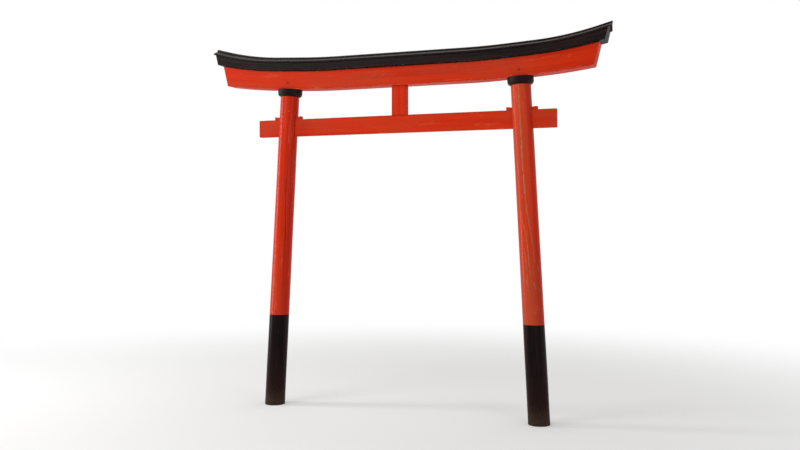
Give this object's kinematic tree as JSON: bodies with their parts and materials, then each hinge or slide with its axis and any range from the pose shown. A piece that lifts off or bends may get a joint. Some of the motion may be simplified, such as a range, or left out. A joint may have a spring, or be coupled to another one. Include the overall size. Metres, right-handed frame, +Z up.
{
  "type": "wooden torii gate",
  "caption": "Wooden gate of leaning round vermilion posts with black bases, a wedged tie beam and a double lintel that curves up at its ends.",
  "frame": {"origin": "centre of the left post's foot face, at ground level", "axes": "+X from the left post to the right post, +Y from the front to the back, +Z up"},
  "size_m": [3.559, 0.216, 3.2245],
  "materials": {
    "post_paint": "gloss vermilion paint on a round log",
    "beam_paint": "gloss vermilion paint on sawn timber",
    "base_black": "satin black paint on a thin sheet wrap",
    "beam_black": "satin black paint on sawn timber",
    "roof_black": "weathered black paint on boards"
  },
  "bodies": {
    "root": {"left_post": "post_paint", "right_post": "post_paint", "left_base_wrap": "base_black", "right_base_wrap": "base_black", "left_capital_ring": "beam_black", "right_capital_ring": "beam_black", "tie_beam": "beam_paint", "left_outer_wedge": "beam_paint", "left_inner_wedge": "beam_paint", "right_inner_wedge": "beam_paint", "right_outer_wedge": "beam_paint", "centre_strut": "beam_paint", "lower_lintel": "beam_paint", "left_lintel_peg": "beam_paint", "right_lintel_peg": "beam_paint", "upper_lintel": "beam_black", "front_left_roof_board": "roof_black", "front_right_roof_board": "roof_black", "back_left_roof_board": "roof_black", "back_right_roof_board": "roof_black", "left_ridge_cap": "roof_black", "right_ridge_cap": "roof_black"}
  },
  "joints": []
}
